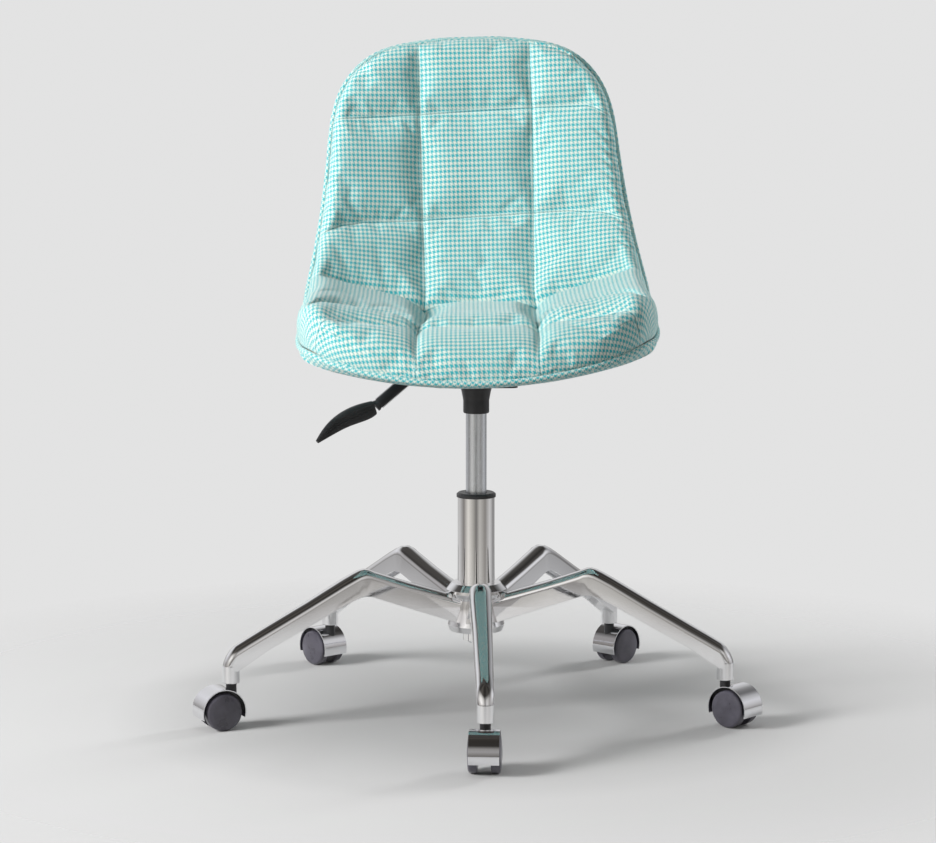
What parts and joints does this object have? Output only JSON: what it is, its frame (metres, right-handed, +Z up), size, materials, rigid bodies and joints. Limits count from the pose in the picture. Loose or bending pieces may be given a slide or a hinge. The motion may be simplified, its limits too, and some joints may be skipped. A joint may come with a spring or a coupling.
{
  "type": "swivel chair",
  "caption": "Armless swivel chair with an upholstered bucket shell, gas column, height lever, star base and hooded twin-wheel casters.",
  "frame": {"origin": "on the floor, on the gas column's axis", "axes": "+Z up along the column, the seat faces -Y, +X is the sitter's left as seen from in front"},
  "size_m": [0.7537, 0.7251, 0.9013],
  "materials": {
    "chrome_casting": "bright polished casting",
    "chrome_tube": "mirror polished tube",
    "chrome_hood": "bright plated pressing",
    "satin_steel": "ground satin steel",
    "zinc_steel": "zinc plated",
    "black_metal": "black powder coat",
    "black_plastic": "moulded black plastic",
    "white_plastic": "moulded acetal",
    "wheel_grey": "smooth dark grey nylon",
    "stop_rubber": "moulded rubber",
    "shell_plywood": "moulded plywood",
    "check_fabric": "teal and cream houndstooth upholstery",
    "rear_fabric": "teal and cream houndstooth upholstery",
    "welt_fabric": "piping in the same cloth"
  },
  "bodies": {
    "base": {"star_base": "chrome_casting", "column_tube": "chrome_tube", "guide_sleeve": "white_plastic", "column_cap": "black_plastic", "caster_stem_1": "zinc_steel", "caster_stem_2": "zinc_steel", "caster_stem_3": "zinc_steel", "caster_stem_4": "zinc_steel", "caster_stem_5": "zinc_steel"},
    "rod": {"piston_rod": "satin_steel", "retaining_clip": "zinc_steel", "thrust_bearing": "zinc_steel", "bump_stop": "stop_rubber"},
    "seat": {"gas_cylinder": "satin_steel", "taper_collar": "black_plastic", "mechanism_housing": "black_metal", "mount_plate": "black_metal", "mount_bolts": "zinc_steel", "t_nuts": "zinc_steel", "lever_pivot": "zinc_steel", "seat_shell": "shell_plywood", "seat_pad": "check_fabric", "rear_cover": "rear_fabric", "welt_piping": "welt_fabric"},
    "lever": {"lever_rod": "zinc_steel", "lever_sleeve": "black_plastic", "lever_ferrule": "black_plastic", "lever_handle": "black_plastic"},
    "valve": {"valve_pin": "zinc_steel"},
    "caster_1": {"caster_body_1": "black_plastic", "caster_hood_1": "chrome_hood", "caster_axle_1": "zinc_steel"},
    "wheel_left_1_body": {"wheel_left_1": "wheel_grey"},
    "wheel_right_1_body": {"wheel_right_1": "wheel_grey"},
    "caster_2": {"caster_body_2": "black_plastic", "caster_hood_2": "chrome_hood", "caster_axle_2": "zinc_steel"},
    "wheel_left_2_body": {"wheel_left_2": "wheel_grey"},
    "wheel_right_2_body": {"wheel_right_2": "wheel_grey"},
    "caster_3": {"caster_body_3": "black_plastic", "caster_hood_3": "chrome_hood", "caster_axle_3": "zinc_steel"},
    "wheel_left_3_body": {"wheel_left_3": "wheel_grey"},
    "wheel_right_3_body": {"wheel_right_3": "wheel_grey"},
    "caster_4": {"caster_body_4": "black_plastic", "caster_hood_4": "chrome_hood", "caster_axle_4": "zinc_steel"},
    "wheel_left_4_body": {"wheel_left_4": "wheel_grey"},
    "wheel_right_4_body": {"wheel_right_4": "wheel_grey"},
    "caster_5": {"caster_body_5": "black_plastic", "caster_hood_5": "chrome_hood", "caster_axle_5": "zinc_steel"},
    "wheel_left_5_body": {"wheel_left_5": "wheel_grey"},
    "wheel_right_5_body": {"wheel_right_5": "wheel_grey"}
  },
  "joints": [
    {"name": "seat_swivel", "type": "hinge", "parent": "base", "child": "rod", "pos_m": [0, 0, 0.0985], "axis": [0, 0, 1], "continuous": true},
    {"name": "seat_height", "type": "slide", "parent": "rod", "child": "seat", "axis": [0, 0, 1], "range_m": [-0.095, 0]},
    {"name": "lever_pull", "type": "hinge", "parent": "seat", "child": "lever", "pos_m": [-0.044, 0, 0.4548], "axis": [0, 1, 0], "range_deg": [0, 4.5], "stiffness_Nm_per_rad": 10, "springref_deg": -1.15},
    {"name": "valve_press", "type": "slide", "parent": "seat", "child": "valve", "axis": [0, 0, -1], "range_m": [0, 0.0035]},
    {"name": "caster_swivel_1", "type": "hinge", "parent": "base", "child": "caster_1", "pos_m": [0.01051, -0.34384, 0.05], "axis": [0, 0, 1], "continuous": true},
    {"name": "wheel_left_spin_1", "type": "hinge", "parent": "caster_1", "child": "wheel_left_1_body", "pos_m": [0.00962, -0.36082, 0.025], "axis": [0.9986, -0.0523, 0], "continuous": true},
    {"name": "wheel_right_spin_1", "type": "hinge", "parent": "caster_1", "child": "wheel_right_1_body", "pos_m": [0.00962, -0.36082, 0.025], "axis": [0.9986, -0.0523, 0], "continuous": true},
    {"name": "caster_swivel_2", "type": "hinge", "parent": "base", "child": "caster_2", "pos_m": [0.33026, -0.09626, 0.05], "axis": [0, 0, 1], "continuous": true},
    {"name": "wheel_left_spin_2", "type": "hinge", "parent": "caster_2", "child": "wheel_left_2_body", "pos_m": [0.34293, -0.10759, 0.025], "axis": [0.6665, 0.7455, 0], "continuous": true},
    {"name": "wheel_right_spin_2", "type": "hinge", "parent": "caster_2", "child": "wheel_right_2_body", "pos_m": [0.34293, -0.10759, 0.025], "axis": [0.6665, 0.7455, 0], "continuous": true},
    {"name": "caster_swivel_3", "type": "hinge", "parent": "base", "child": "caster_3", "pos_m": [0.1936, 0.28435, 0.05], "axis": [0, 0, 1], "continuous": true},
    {"name": "wheel_left_spin_3", "type": "hinge", "parent": "caster_3", "child": "wheel_left_3_body", "pos_m": [0.20491, 0.29704, 0.025], "axis": [-0.7466, 0.6652, 0], "continuous": true},
    {"name": "wheel_right_spin_3", "type": "hinge", "parent": "caster_3", "child": "wheel_right_3_body", "pos_m": [0.20491, 0.29704, 0.025], "axis": [-0.7466, 0.6652, 0], "continuous": true},
    {"name": "caster_swivel_4", "type": "hinge", "parent": "base", "child": "caster_4", "pos_m": [-0.2106, 0.272, 0.05], "axis": [0, 0, 1], "continuous": true},
    {"name": "wheel_left_spin_4", "type": "hinge", "parent": "caster_4", "child": "wheel_left_4_body", "pos_m": [-0.22164, 0.28492, 0.025], "axis": [-0.7604, -0.6494, 0], "continuous": true},
    {"name": "wheel_right_spin_4", "type": "hinge", "parent": "caster_4", "child": "wheel_right_4_body", "pos_m": [-0.22164, 0.28492, 0.025], "axis": [-0.7604, -0.6494, 0], "continuous": true},
    {"name": "caster_swivel_5", "type": "hinge", "parent": "base", "child": "caster_5", "pos_m": [-0.32377, -0.11624, 0.05], "axis": [0, 0, 1], "continuous": true},
    {"name": "wheel_left_spin_5", "type": "hinge", "parent": "caster_5", "child": "wheel_left_5_body", "pos_m": [-0.33907, -0.12364, 0.025], "axis": [0.4352, -0.9003, 0], "continuous": true},
    {"name": "wheel_right_spin_5", "type": "hinge", "parent": "caster_5", "child": "wheel_right_5_body", "pos_m": [-0.33907, -0.12364, 0.025], "axis": [0.4352, -0.9003, 0], "continuous": true}
  ],
  "couplings": [
    {"joint": "valve_press", "follows": "lever_pull", "m_per_rad": 0.044}
  ]
}
